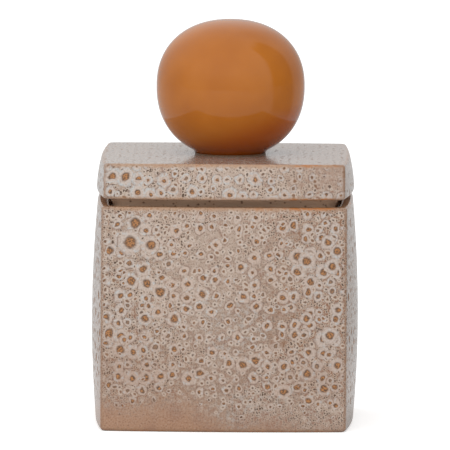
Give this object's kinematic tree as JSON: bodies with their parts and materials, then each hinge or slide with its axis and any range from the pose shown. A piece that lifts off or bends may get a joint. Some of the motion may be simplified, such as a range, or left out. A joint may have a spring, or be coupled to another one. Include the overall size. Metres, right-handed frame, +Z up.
{
  "type": "lidded storage jar",
  "caption": "Square stoneware storage jar with bowed sides, a loose lid whose plug stands on a ledge in the mouth, and a glazed ball knob to lift it by.",
  "frame": {"origin": "middle of the flat base, on the surface that the jar stands on", "axes": "+Z up along the jar's axis, -Y to the front, +X to the right of someone facing the front"},
  "size_m": [0.13, 0.13, 0.1963],
  "materials": {
    "speckled_glaze": "beige reactive glaze with brown eyes, glossy",
    "caramel_glaze": "smooth caramel brown glaze, glossy",
    "bond": "cured brown adhesive"
  },
  "bodies": {
    "jar": {"jar_body": "speckled_glaze"},
    "lid": {"lid": "speckled_glaze", "knob_bond": "bond", "ball_knob": "caramel_glaze"}
  },
  "joints": [
    {"name": "lid_lift", "type": "slide", "parent": "jar", "child": "lid", "axis": [0, 0, 1], "range_m": [0, 0.08]}
  ]
}
